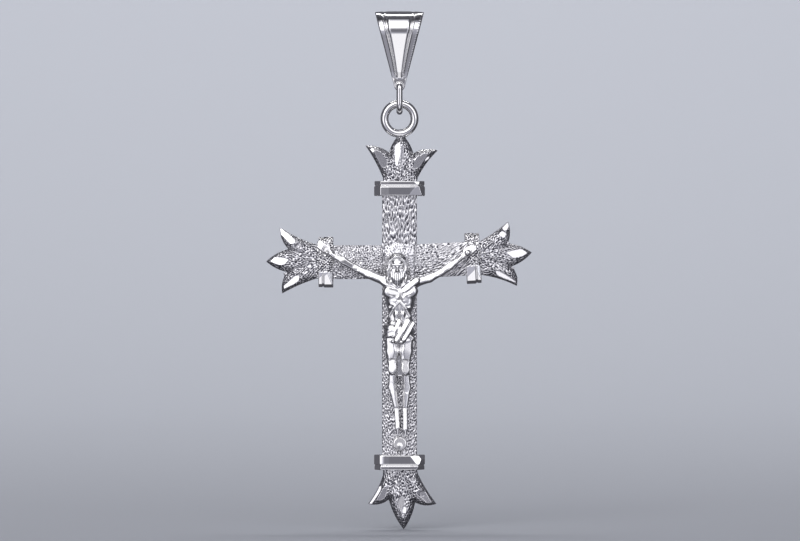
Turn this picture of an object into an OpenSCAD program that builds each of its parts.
// Crucifix pendant: a soldered silver cross with four leaf finials, a riveted figure,
// a jump ring at the head, a connecting link and a folded bail that a neck chain runs through.
// Millimetres. +Z is up, the figure faces -Y, and the origin is the centre line of the bail's
// bend, where the chain lies. The hanging plane of link and ring is Y = 0.

/* [Bail] */
// Width of the bail across its top
bail_w = 7.1; // [6.6:0.1:7.6]
// Inside radius of the bend that the chain lies in
seat_r = 2.0; // [1.8:0.1:2.2]
// Thickness of the folded strip
strip_t = 0.7; // [0.6:0.05:0.8]
// Drop from the chain seat's axis to the eye in the bail's tip
bail_drop = 7.9; // [7.5:0.1:8.5]

/* [Link and jump ring] */
// Wire diameter of the connecting link
link_wire = 0.88; // [0.8:0.02:0.92]
// Distance between the wire in the bail's eye and the wire of the jump ring
link_reach = 2.65; // [2.4:0.05:3]
// Wire diameter of the jump ring
ring_wire = 1.15; // [1.1:0.05:1.2]
// Mean radius of the jump ring, to the middle of its wire
ring_r = 2.16; // [2.1:0.02:2.3]

/* [Cross] */
// Width of the upright bar
post_w = 5.0; // [4.8:0.1:5.2]
// Width of the two arms
arm_w = 4.85; // [4.6:0.05:5.0]
// Height of the upright's domed front above the hanging plane
post_front = 1.6; // [1.5:0.05:1.7]
// Height of the arms' domed front above the hanging plane
arm_front = 1.2; // [1.1:0.05:1.3]
// Depth of the flat back behind the hanging plane
bar_back = 1.2; // [1.1:0.05:1.4]
// Rise of the dome across a bar
dome_rise = 0.4; // [0.3:0.05:0.5]
// Middle of the crossing to the middle of the head collar
head_len = 10.6; // [10.2:0.1:11]
// Middle of the crossing to the middle of the foot collar
foot_len = 28.8; // [28.4:0.1:29.4]
// Middle of the crossing to the middle of each arm's collar
arm_len = 10.6; // [10.4:0.1:10.8]
// Angle that the right arm was soldered above level, in degrees
right_lift = 3; // [0:0.5:3.5]

/* [Collars] */
// Width of a collar across the bar
collar_w = 7.3; // [7.1:0.1:7.5]
// Height of a collar along the bar
collar_h = 2.1; // [2:0.05:2.3]
// How far a collar stands proud of its bar's dome
collar_proud = 0.5; // [0.45:0.05:0.6]

/* [Finials] */
// Reach of the middle leaf of the head finial past its collar's middle
head_leaf = 8.0; // [7.9:0.05:8.1]
// The same for the foot finial
foot_leaf = 9.7; // [9.4:0.1:10.2]
// The same for the left arm's finial
left_leaf = 8.6; // [8.3:0.1:8.9]
// The same for the right arm's finial
right_leaf = 8.5; // [8.2:0.1:8.8]
// Usual sideways reach of the outer leaves; each finial differs a little
leaf_spread = 5.0; // [4.9:0.05:5.1]
// Usual reach of the outer leaves past the collar's middle
leaf_side = 6.0; // [5.9:0.05:6.1]

/* [Hidden] */

$fn = 64;
gap = 0.02;                 // solder or fit gap between pieces that are cut to each other
far = 50;                   // longer than anything it cuts
silver = "silver";

ring_wr = ring_wire / 2;
link_wr = link_wire / 2;
eye_z = -bail_drop;
eye_r = link_wr + 0.06;                 // the link's bar turns in this eye
tip_r = eye_r + 0.3;                    // round end of the bail about the eye
tip_half = 0.6;                         // half the bail's thickness at the eye
corner_r = link_wr + 0.06;              // middle of the wire in the link's top corners
link_half = tip_half + 0.05 + corner_r; // middle of the wire in the link's sides
ring_top_z = eye_z - link_reach;        // the ring's wire in the link's lower bend
ring_z = ring_top_z - ring_r;
ring_low_z = ring_z - ring_r;
cross_z = ring_low_z + 0.1 - head_leaf - head_len;

// Radius of the arc that rises by rise across a width.
function arc_radius(width, rise) = (pow(width / 2, 2) + rise * rise) / (2 * rise);

post_dome_r = arc_radius(post_w, dome_rise);
tang_r = 0.75;
tang_len = 2.0;
peg_r = 0.8;
peg_len = 1.0;
nail_r = 0.35;
nail_head_r = 0.52;
nail_head_h = 0.35;
rivet_r = 0.5;

left_nail_at = [-10.4, 1.35];   // across and up from the middle of the crossing
right_nail_at = [9.75, 1.35];
hip_z = -9.6;               // height of the figure's rivet below the crossing
rest_top = -25.0;           // top of the footrest below the crossing
rest_h = 2.7;
rest_rivet_z = rest_top - 0.95;

nail_top = 2.75;            // front of the hand, where the nail's head sits
nail_floor = 0.5;           // metal left behind a nail's blind hole
nail_len = nail_top + bar_back - nail_floor;
figure_rivet_top = 2.5;     // front end of the figure's rivet
rest_rivet_top = 2.1;       // front end of the footrest's rivet

plate_t = 0.35;             // nimbus plate behind the head
plate_w = 4.5;
plate_top = 3.0;
plate_low = -2.6;
plate_arch = 0.35;

// Hand-chased outlines, each [across, along] from its collar's middle with the limb pointing
// up: three leaf tips, the notches between them and the hips where the fan leaves the neck.
head_tips = [[-leaf_spread + 0.1, leaf_side + 0.2], [0.2, head_leaf], [leaf_spread + 0.5, leaf_side - 0.5]];
head_notches = [[-1.5, 5.2], [2.0, 5.1]];
head_hips = [[-2.4, 1.6], [2.65, 1.6]];
foot_tips = [[-leaf_spread - 0.3, leaf_side], [-0.6, foot_leaf], [leaf_spread - 0.5, leaf_side]];
foot_notches = [[-2.25, 5.8], [1.55, 5.4]];
foot_hips = [[-2.65, 1.7], [2.4, 1.9]];
left_tips = [[-leaf_spread + 0.5, leaf_side + 0.3], [0.1, left_leaf], [leaf_spread, leaf_side + 0.6]];
left_notches = [[-1.4, 5.6], [1.9, 5.4]];
left_hips = [[-2.4, 1.5], [2.6, 1.5]];
right_tips = [[-leaf_spread, leaf_side - 0.7], [-0.4, right_leaf], [leaf_spread - 0.7, leaf_side + 0.1]];
right_notches = [[-1.9, 5.1], [1.45, 5.5]];
right_hips = [[-2.4, 1.1], [2.45, 1.1]];

// Small petals that fill the gaps between some leaves of the arm finials.
left_petals = [[[-1.1, 4.4], [-1.55, 6.1], [-2.3, 5.9], [-3.0, 6.2], [-3.3, 4.6]]];
right_petals = [
    [[1.2, 4.4], [1.6, 5.9], [2.4, 5.7], [3.15, 6.3], [3.4, 4.8]],
    [[-1.4, 4.2], [-1.95, 5.5], [-2.3, 5.1], [-2.75, 5.4], [-3.4, 4.4]]
];

// ---------------------------------------------------------------- bars

// Cross section of a bar: flat back, square sides and a low domed front, grown by g.
module bar_profile(w, front, g = 0) {
    r = arc_radius(w, dome_rise);
    intersection() {
        translate([-w / 2 - g, -front - g])
            square([w + 2 * g, front + bar_back + g]);
        translate([0, r - front])
            circle(r = r + g, $fn = 180);
    }
}

// A bar that runs along +Z from z0 to z1.
module bar(w, front, z0, z1, g = 0) {
    translate([0, 0, z0])
        linear_extrude(z1 - z0)
            bar_profile(w, front, g);
}

// Places a limb that is drawn pointing up at the crossing, turned a degrees about Y.
module limb(a) {
    translate([0, 0, cross_z])
        rotate([0, a, 0])
            children();
}

right_turn = 90 - right_lift;

// The round peg of an arm, from inside the post to the arm's end; hole adds the fit gap.
module peg(hole = 0) {
    translate([0, 0, post_w / 2 - peg_len - hole])
        cylinder(r = peg_r + hole, h = peg_len + hole + 0.6);
}

// The socket in a bar's end for a finial's tang.
module tang_socket(len) {
    translate([0, 0, len - tang_len - gap])
        cylinder(r = tang_r + gap, h = tang_len + 1);
}

// A hole from front to back, at a place across and up from the crossing.
module cross_hole(at, r) {
    translate([at[0], far / 2, cross_z + at[1]])
        rotate([90, 0, 0])
            cylinder(r = r, h = far);
}

module post() {
    color(silver)
        difference() {
            limb(0)
                bar(post_w, post_front, -foot_len, head_len);
            limb(0)
                tang_socket(head_len);
            limb(180)
                tang_socket(foot_len);
            limb(-90)
                peg(gap);
            limb(right_turn)
                peg(gap);
            cross_hole([0, hip_z], rivet_r + gap);
            cross_hole([0, rest_rivet_z], rivet_r + gap);
        }
}

// An arm: its inner end is trimmed to the post's side, so that a lifted arm still seats flat.
module arm(turn, nail_at) {
    difference() {
        union() {
            difference() {
                limb(turn)
                    bar(arm_w, arm_front, 1.5, arm_len);
                translate([-post_w / 2, -far / 2, cross_z - far / 2])
                    cube([post_w, far, far]);
            }
            limb(turn)
                peg();
        }
        limb(turn)
            tang_socket(arm_len);
        nail_socket(nail_at);
    }
}

module left_arm() {
    color(silver)
        arm(-90, left_nail_at);
}

module right_arm() {
    color(silver)
        arm(right_turn, right_nail_at);
}

// ---------------------------------------------------------------- collars

// Outline of a collar seen along the bar: a faceted front, square sides and an open back.
module collar_outline(front) {
    half = collar_w / 2;
    face = front + collar_proud;
    shoulder = face - 0.55;
    polygon([
        [-half, bar_back], [-half, -shoulder + 0.5], [-half + 0.45, -shoulder],
        [-1.5, -face], [1.5, -face],
        [half - 0.45, -shoulder], [half, -shoulder + 0.5], [half, bar_back]
    ]);
}

// A collar in its limb's frame: a saddle over a bar, with a V groove across its front.
module collar(w, front, len) {
    groove = 0.3;
    difference() {
        translate([0, 0, len - collar_h / 2])
            linear_extrude(collar_h)
                collar_outline(front);
        translate([0, 0, len - collar_h])
            linear_extrude(2 * collar_h)
                union() {
                    bar_profile(w, front, gap);
                    translate([-w / 2 - gap, 0])
                        square([w + 2 * gap, bar_back + 1]);
                }
        translate([0, -front - collar_proud, len + collar_h * 0.18])
            rotate([45, 0, 0])
                cube([far, groove, groove], center = true);
    }
}

module head_collar() {
    color(silver)
        limb(0)
            collar(post_w, post_front, head_len);
}

module foot_collar() {
    color(silver)
        limb(180)
            collar(post_w, post_front, foot_len);
}

module left_collar() {
    color(silver)
        difference() {
            limb(-90)
                collar(arm_w, arm_front, arm_len);
            nail_socket(left_nail_at);
        }
}

module right_collar() {
    color(silver)
        difference() {
            limb(right_turn)
                collar(arm_w, arm_front, arm_len);
            nail_socket(right_nail_at);
        }
}

// ---------------------------------------------------------------- finials

// Points of an arc from a to b that bulges by sag to the right of the way from a to b.
function arc_points(a, b, sag, n = 8) =
    let (
        mid = (a + b) / 2,
        half = norm(b - a) / 2,
        r = (half * half + sag * sag) / (2 * sag),
        way = (b - a) / (2 * half),
        right = [way[1], -way[0]],
        centre = mid - right * (r - sag),
        start = atan2((a - centre)[1], (a - centre)[0]),
        sweep = (sag > 0 ? 1 : -1) * 2 * asin(half / abs(r))
    )
    [for (i = [0:n - 1]) centre + abs(r) * [cos(start + sweep * i / n), sin(start + sweep * i / n)]];

// Outline of a finial: three pointed leaves on one neck, from the right side round to the left.
module fan(w, tips, notches, hips) {
    neck = w / 2 - 0.1;
    polygon(concat(
        arc_points([neck, 0], hips[1], -0.05, 3),
        arc_points(hips[1], tips[2], -0.22),
        arc_points(tips[2], notches[1], 0.36),
        arc_points(notches[1], tips[1], 0.24),
        arc_points(tips[1], notches[0], 0.24),
        arc_points(notches[0], tips[0], 0.32),
        arc_points(tips[0], hips[0], -0.14),
        arc_points(hips[0], [-neck, 0], -0.05, 3),
        [[-neck, 0]]
    ));
}

// Puts a shape drawn in a limb's face plane upright, from the flat back forward to front.
module face_plate(front) {
    translate([0, bar_back, 0])
        rotate([90, 0, 0])
            linear_extrude(bar_back + front)
                children();
}

// A ridge like a tent, along the way from one [x, z] point to another.
module tent(from, to, w, ridge, edge) {
    way = to - from;
    translate([from[0], 0, from[1]])
        rotate([0, atan2(way[0], way[1]), 0])
            translate([0, 0, -1])
                linear_extrude(norm(way) + 2)
                    polygon([[-w / 2, 0], [-w / 2, -edge], [0, -ridge], [w / 2, -edge], [w / 2, 0]]);
}

// A finial in its limb's frame, zero at the joint plane inside the collar.
module finial(w, front, tips, notches, hips, petals = []) {
    leaf_edge = 0.5;        // height of the leaves' edges above the hanging plane
    petal_face = 0.2;
    union() {
        bar(w, front, 0, collar_h / 2 + 0.3);
        face_plate(leaf_edge)
            fan(w, tips, notches, hips);
        for (petal = petals)
            face_plate(petal_face)
                polygon(petal);
        intersection() {
            face_plate(front)
                fan(w, tips, notches, hips);
            union() {
                tent([tips[1][0] / 4, 1], tips[1], 3.2, front, leaf_edge + 0.1);
                for (tip = [tips[0], tips[2]])
                    tent([sign(tip[0]) * 1.1, 1], tip, 2.6, front - 0.1, leaf_edge - 0.05);
            }
        }
        translate([0, 0, -tang_len])
            cylinder(r = tang_r, h = tang_len + 0.5);
    }
}

module head_finial() {
    color(silver)
        difference() {
            limb(0)
                translate([0, 0, head_len])
                    union() {
                        finial(post_w, post_front - 0.2, head_tips, head_notches, head_hips);
                        translate([0, bar_back, head_leaf - 0.5])
                            rotate([90, 0, 0])
                                cylinder(r = 0.9, h = bar_back + 1.0);
                    }
            ring_torus(ring_wr + gap / 2);
        }
}

module foot_finial() {
    color(silver)
        limb(180)
            translate([0, 0, foot_len])
                finial(post_w, post_front - 0.2, foot_tips, foot_notches, foot_hips);
}

module left_finial() {
    color(silver)
        difference() {
            limb(-90)
                translate([0, 0, arm_len])
                    finial(arm_w, arm_front, left_tips, left_notches, left_hips, left_petals);
            nail_socket(left_nail_at);
        }
}

module right_finial() {
    color(silver)
        difference() {
            limb(right_turn)
                translate([0, 0, arm_len])
                    finial(arm_w, arm_front, right_tips, right_notches, right_hips, right_petals);
            nail_socket(right_nail_at);
        }
}

// ---------------------------------------------------------------- ring, link and bail

// The jump ring's torus in the plane of the cross, its wire given radius r.
module ring_torus(r) {
    translate([0, 0, ring_z])
        rotate([90, 0, 0])
            rotate_extrude($fn = 96)
                translate([ring_r, 0])
                    circle(r = r);
}

module jump_ring() {
    color(silver)
        ring_torus(ring_wr);
}

// An arc of wire in the YZ plane about [y, z], from angle a0 above +Y, turned through sweep.
module wire_arc(y, z, r, a0, sweep) {
    translate([0, y, z])
        rotate([a0, 0, 0])
            rotate([90, 0, 90])
                rotate_extrude(angle = sweep, $fn = 96)
                    translate([r, 0])
                        circle(r = link_wr);
}

// The link: a straight bar through the bail's eye and a round bend under the ring's wire.
module link() {
    flat = link_half - corner_r;
    color(silver)
        union() {
            translate([0, flat, eye_z])
                rotate([90, 0, 0])
                    cylinder(r = link_wr, h = 2 * flat);
            wire_arc(flat, eye_z - corner_r, corner_r, 0, 90);
            wire_arc(-flat, eye_z - corner_r, corner_r, 90, 90);
            wire_arc(0, ring_top_z, link_half, 180, 180);
            for (side = [-1, 1])
                translate([0, side * link_half, ring_top_z])
                    cylinder(r = link_wr, h = link_reach - corner_r);
        }
}

// Side view of the folded strip at radius r: a bend, two straight leaves that meet it at a
// tangent and a flat tip that is tip_y thick each way and runs from tip_z up to flat_z.
module strip_side(r, tip_y, flat_z, tip_z) {
    lean = asin(r / norm([flat_z, tip_y])) - atan(tip_y / -flat_z);
    polygon([
        [r * cos(lean), -r * sin(lean)], [tip_y, flat_z], [tip_y, tip_z],
        [-tip_y, tip_z], [-tip_y, flat_z], [-r * cos(lean), -r * sin(lean)], [0, 0.3 * r]
    ]);
    circle(r = r, $fn = 120);
}

// Front outline of the bail: share of its full width at the bend and at the eye.
module bail_front(top_share, low_share) {
    top = bail_w / 2 * top_share;
    low = tip_r * low_share;
    bend_z = seat_r + strip_t;
    polygon([
        [-top, bend_z + 1], [top, bend_z + 1], [top, bend_z], [low, eye_z], [low, eye_z - tip_r],
        [-low, eye_z - tip_r], [-low, eye_z], [-top, bend_z]
    ]);
}

module extrude_x(w) {
    rotate([90, 0, 90])
        translate([0, 0, -w / 2])
            linear_extrude(w)
                children();
}

module extrude_y(w) {
    rotate([90, 0, 0])
        translate([0, 0, -w / 2])
            linear_extrude(w)
                children();
}

module bail() {
    outer = seat_r + strip_t;
    panels = [[1, 1, 0], [0.68, 0.75, 0.09], [0.54, 0.3, 0.2]]; // shares of the width, and rise
    flat_z = eye_z + 1.1;                   // top of the flat tip
    color(silver)
        difference() {
            union()
                for (panel = panels)
                    intersection() {
                        extrude_x(far)
                            strip_side(outer + panel[2], tip_half, flat_z, eye_z - tip_r);
                        extrude_y(far)
                            bail_front(panel[0], panel[1]);
                    }
            extrude_x(far)
                strip_side(seat_r, 0.08, flat_z + 0.4, flat_z + 0.2);
            difference() {
                translate([0, 0, eye_z - tip_r])
                    cube([far, far, 2 * tip_r], center = true);
                extrude_y(far)
                    translate([0, eye_z])
                        circle(r = tip_r);
                translate([-far / 2, -far / 2, eye_z])
                    cube([far, far, far]);
            }
            translate([0, far / 2, eye_z])
                rotate([90, 0, 0])
                    cylinder(r = eye_r, h = far);
        }
}

// ---------------------------------------------------------------- nimbus plate

// A thin plate bent over the post's dome behind the head, with a shallow arched top.
module nimbus_plate() {
    arch_r = arc_radius(plate_w, plate_arch);
    color(silver)
        translate([0, 0, cross_z])
            difference() {
                intersection() {
                    translate([0, post_dome_r - post_front, plate_low])
                        cylinder(r = post_dome_r + plate_t, h = plate_top - plate_low, $fn = 180);
                    extrude_y(far)
                        intersection() {
                            translate([-plate_w / 2, plate_low])
                                square([plate_w, plate_top - plate_low]);
                            translate([0, plate_top - arch_r])
                                circle(r = arch_r, $fn = 180);
                        }
                    translate([-far / 2, -far, -far / 2])
                        cube([far, far, far]);
                }
                translate([0, post_dome_r - post_front, -far / 2])
                    cylinder(r = post_dome_r + gap, h = far, $fn = 180);
            }
}

// ---------------------------------------------------------------- fastenings

// A nail's shank hole through hand, collar and arm, blind before the back.
module nail_socket(at) {
    translate([at[0], bar_back - nail_floor, cross_z + at[1]])
        rotate([90, 0, 0])
            cylinder(r = nail_r + gap, h = far);
}

// A nail with a low conical head on the hand.
module nail(at) {
    color(silver)
        translate([at[0], bar_back - nail_floor, cross_z + at[1]])
            rotate([90, 0, 0])
                union() {
                    cylinder(r = nail_r, h = nail_len + gap);
                    translate([0, 0, nail_len])
                        cylinder(r1 = nail_head_r, r2 = nail_head_r * 0.55, h = nail_head_h);
                }
}

module left_nail() {
    nail(left_nail_at);
}

module right_nail() {
    nail(right_nail_at);
}

// A plain rivet from the flat back forward to front, at height z below the crossing.
module rivet(z, front) {
    color(silver)
        translate([0, bar_back, cross_z + z])
            rotate([90, 0, 0])
                cylinder(r = rivet_r, h = bar_back + front);
}

module corpus_rivet() {
    rivet(hip_z, figure_rivet_top);
}

module footrest_rivet() {
    rivet(rest_rivet_z, rest_rivet_top);
}

// ---------------------------------------------------------------- footrest

module footrest() {
    rest_y = -post_front - 0.05;
    color(silver)
        difference() {
            translate([0, rest_y, cross_z + rest_top - rest_h])
                rotate_extrude($fn = 64)
                    polygon([
                        [0, 0], [0.45, 0], [0.72, 0.45], [0.95, 1.2], [1.02, 1.9],
                        [0.95, rest_h - 0.15], [0.8, rest_h], [0, rest_h]
                    ]);
            limb(0)
                bar(post_w, post_front, -foot_len, 0, gap);
            translate([0, -rest_rivet_top - gap, cross_z + rest_rivet_z])
                rotate([-90, 0, 0])
                    cylinder(r = rivet_r + gap, h = far);
        }
}

// ---------------------------------------------------------------- figure

// A tapered round limb between two joints, each [x, y, z] from the crossing with a radius.
module bone(a, ra, b, rb) {
    hull() {
        translate(a)
            sphere(r = ra, $fn = 16);
        translate(b)
            sphere(r = rb, $fn = 16);
    }
}

// An ellipsoid at a point.
module ball(at, size) {
    translate(at)
        scale(size)
            sphere(r = 1, $fn = 24);
}

// One arm of the figure, from shoulder to finger tips.
module figure_arm(shoulder, elbow, wrist, palm, tips) {
    bone(shoulder, 0.95, elbow, 0.65);
    bone(elbow, 0.65, wrist, 0.45);
    bone(wrist, 0.45, palm, 0.55);
    bone(palm, 0.55, tips, 0.35);
}

// One leg, from hip to toes.
module figure_leg(hip, knee, calf, ankle, toes) {
    bone(hip, 1.15, knee, 0.85);
    bone(knee, 0.8, calf, 0.85);
    bone(calf, 0.85, ankle, 0.5);
    bone(ankle, 0.5, toes, 0.5);
}

module figure() {
    ball([-0.35, -3.15, -1.1], [1.35, 1.3, 1.85]);              // skull
    ball([-0.4, -2.8, -1.5], [1.75, 1.1, 2.1]);                 // hair
    bone([-0.45, -3.6, -2.7], 0.8, [-0.35, -3.4, -3.9], 0.4);   // beard
    bone([-0.1, -2.5, -3.6], 0.8, [-0.3, -2.8, -2.4], 0.8);     // neck
    figure_arm([-1.9, -2.5, -3.5], [-6.2, -2.3, -1.4], [-8.9, -2.2, 0.45],
        [-10.4, -2.25, 1.45], [-11.6, -2.25, 2.3]);
    figure_arm([2.1, -2.5, -3.3], [5.9, -2.3, -1.6], [8.5, -2.2, 0.3],
        [9.75, -2.25, 1.35], [10.8, -2.25, 2.2]);
    hull() {
        ball([-1.2, -2.6, -4.4], [1.5, 1.2, 1.4]);
        ball([1.25, -2.6, -4.3], [1.5, 1.2, 1.4]);
    }
    hull() {
        ball([0, -2.55, -4.8], [2.4, 1.15, 1.3]);
        ball([0.05, -2.3, -7.8], [1.75, 0.95, 0.9]);
    }
    hull() {
        ball([0.05, -2.3, -7.8], [1.75, 0.95, 0.9]);
        ball([0, -2.4, -10.2], [2.2, 1.2, 1.5]);
    }
    bone([1.5, -2.6, -8.9], 0.7, [-1.5, -3.0, -10.8], 0.7);     // cloth
    bone([2.1, -2.5, -9.2], 0.55, [2.2, -2.4, -11.2], 0.45);    // knot
    figure_leg([-1.1, -2.3, -11.0], [-0.95, -2.95, -15.4], [-0.85, -2.45, -17.6],
        [-0.4, -2.2, -21.2], [-0.4, -2.6, -24.5]);
    figure_leg([1.1, -2.3, -11.0], [0.8, -2.95, -15.3], [0.75, -2.45, -17.6],
        [0.6, -2.2, -21.2], [0.7, -2.6, -24.5]);
}

module corpus() {
    color(silver)
        difference() {
            translate([0, 0, cross_z])
                figure();
            limb(0)
                bar(post_w, post_front, -foot_len, head_len, gap);
            limb(-90)
                bar(arm_w, arm_front, 0, arm_len, gap);
            limb(right_turn)
                bar(arm_w, arm_front, 0, arm_len, gap);
            limb(-90)
                collar_space();
            limb(right_turn)
                collar_space();
            translate([0, post_dome_r - post_front, cross_z + plate_low])
                cylinder(r = post_dome_r + plate_t + gap, h = plate_top - plate_low, $fn = 180);
            for (at = [left_nail_at, right_nail_at]) {
                translate([at[0], 0, cross_z + at[1]])
                    rotate([90, 0, 0])
                        cylinder(r = nail_r + 0.04, h = far, $fn = 32);
                translate([at[0], -nail_top + gap, cross_z + at[1]])
                    rotate([90, 0, 0])
                        cylinder(r = nail_head_r + 0.3, h = far, $fn = 32);
            }
            translate([0, -figure_rivet_top - gap, cross_z + hip_z])
                rotate([-90, 0, 0])
                    cylinder(r = rivet_r + 0.04, h = far, $fn = 32);
            translate([-far / 2, -far / 2, cross_z + rest_top - far])
                cube([far, far, far]);
        }
}

// The block of a collar with the gap round it, which the figure's hands lie on.
module collar_space() {
    translate([0, 0, arm_len - collar_h / 2 - gap])
        linear_extrude(collar_h + 2 * gap)
            offset(delta = gap)
                collar_outline(arm_front);
}

bail();
link();
jump_ring();
post();
left_arm();
right_arm();
head_finial();
foot_finial();
left_finial();
right_finial();
head_collar();
foot_collar();
left_collar();
right_collar();
nimbus_plate();
corpus();
left_nail();
right_nail();
corpus_rivet();
footrest();
footrest_rivet();
